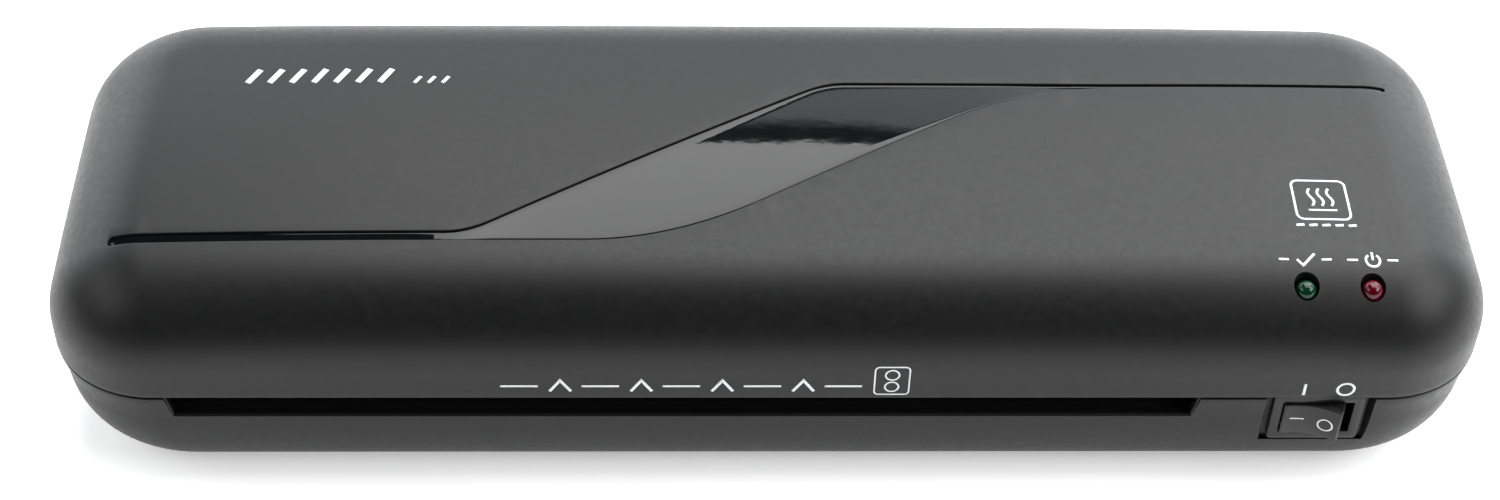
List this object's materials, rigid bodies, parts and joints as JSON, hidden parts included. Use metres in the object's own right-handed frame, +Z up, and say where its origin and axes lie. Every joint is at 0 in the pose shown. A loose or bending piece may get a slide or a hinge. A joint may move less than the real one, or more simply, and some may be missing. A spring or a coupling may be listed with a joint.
{
  "type": "pouch laminator",
  "caption": "Desktop pouch laminator with a full-width front feed slot, heated rollers, gear motor, rocker power switch and two indicator lamps.",
  "frame": {"origin": "on the table surface, under the centre of the case", "axes": "+X along the machine to the right seen from the pouch slot, +Y to the back, +Z up"},
  "size_m": [0.33, 0.1152, 0.0607],
  "materials": {
    "case_black": "fine matt moulded texture",
    "inlay_black": "high gloss",
    "lamp_green": "clear tinted",
    "lamp_red": "clear tinted",
    "board_green": "solder mask",
    "switch_black": "satin",
    "rubber_black": "matt",
    "guide_plastic": "satin",
    "bush_nylon": "satin natural",
    "gear_nylon": "satin natural",
    "brass_contact": "plated",
    "sheet_steel": "zinc plated",
    "bright_steel": "ground",
    "screw_steel": "zinc plated",
    "heater_aluminium": "extruded",
    "heater_mica": "matt",
    "ceramic_white": "matt",
    "silicone_red": "soft matt",
    "motor_can": "zinc"
  },
  "bodies": {
    "chassis": {"top_cover": "case_black", "bottom_case": "case_black", "gloss_inlay": "inlay_black", "ready_lamp": "lamp_green", "power_lamp": "lamp_red", "lamp_board": "board_green", "board_screws": "screw_steel", "switch_housing": "switch_black", "switch_terminals": "brass_contact", "rubber_feet": "rubber_black", "case_screws": "screw_steel", "cord_gland": "rubber_black", "entry_guide_lower": "guide_plastic", "entry_guide_upper": "guide_plastic", "exit_guide_lower": "guide_plastic", "exit_guide_upper": "guide_plastic", "frame_left": "sheet_steel", "frame_right": "sheet_steel", "frame_screws": "screw_steel", "tie_rods": "bright_steel", "lower_heater_plate": "heater_aluminium", "upper_heater_plate": "heater_aluminium", "lower_heater_strip": "heater_mica", "upper_heater_strip": "heater_mica", "thermostat": "ceramic_white", "thermal_fuse": "ceramic_white", "lower_bushes": "bush_nylon", "bearing_springs": "bright_steel", "motor_bracket": "sheet_steel", "gear_motor": "motor_can", "motor_screws": "screw_steel"},
    "rocker": {"switch_rocker": "switch_black"},
    "lower_roller": {"lower_roller_shaft": "bright_steel", "lower_roller_sleeve": "silicone_red", "lower_roller_gear": "gear_nylon", "lower_shaft_clips": "bright_steel"},
    "upper_bearing": {"upper_bearings": "bush_nylon"},
    "upper_roller": {"upper_roller_shaft": "bright_steel", "upper_roller_sleeve": "silicone_red", "upper_roller_gear": "gear_nylon", "upper_shaft_clips": "bright_steel"},
    "motor_output": {"motor_shaft": "bright_steel", "motor_pinion": "brass_contact"}
  },
  "joints": [
    {"name": "power_rocker", "type": "hinge", "parent": "chassis", "child": "rocker", "pos_m": [0.1248, -0.0491, 0.0226], "axis": [0, 0, 1], "range_deg": [0, 24]},
    {"name": "lower_roller_spin", "type": "hinge", "parent": "chassis", "child": "lower_roller", "pos_m": [0, 0.008, 0.01785], "axis": [1, 0, 0], "continuous": true},
    {"name": "upper_bearing_lift", "type": "slide", "parent": "chassis", "child": "upper_bearing", "axis": [0, 0, 1], "range_m": [0, 0.001], "stiffness_N_per_m": 3000, "deforming": ["bearing_springs"]},
    {"name": "upper_roller_spin", "type": "hinge", "parent": "upper_bearing", "child": "upper_roller", "pos_m": [0, 0.008, 0.03615], "axis": [1, 0, 0], "continuous": true},
    {"name": "motor_output_spin", "type": "hinge", "parent": "chassis", "child": "motor_output", "pos_m": [0, 0.02302, 0.0205], "axis": [1, 0, 0], "continuous": true}
  ],
  "couplings": [
    {"joint": "upper_roller_spin", "follows": "lower_roller_spin", "ratio": -1},
    {"joint": "motor_output_spin", "follows": "lower_roller_spin", "ratio": -1.5}
  ]
}
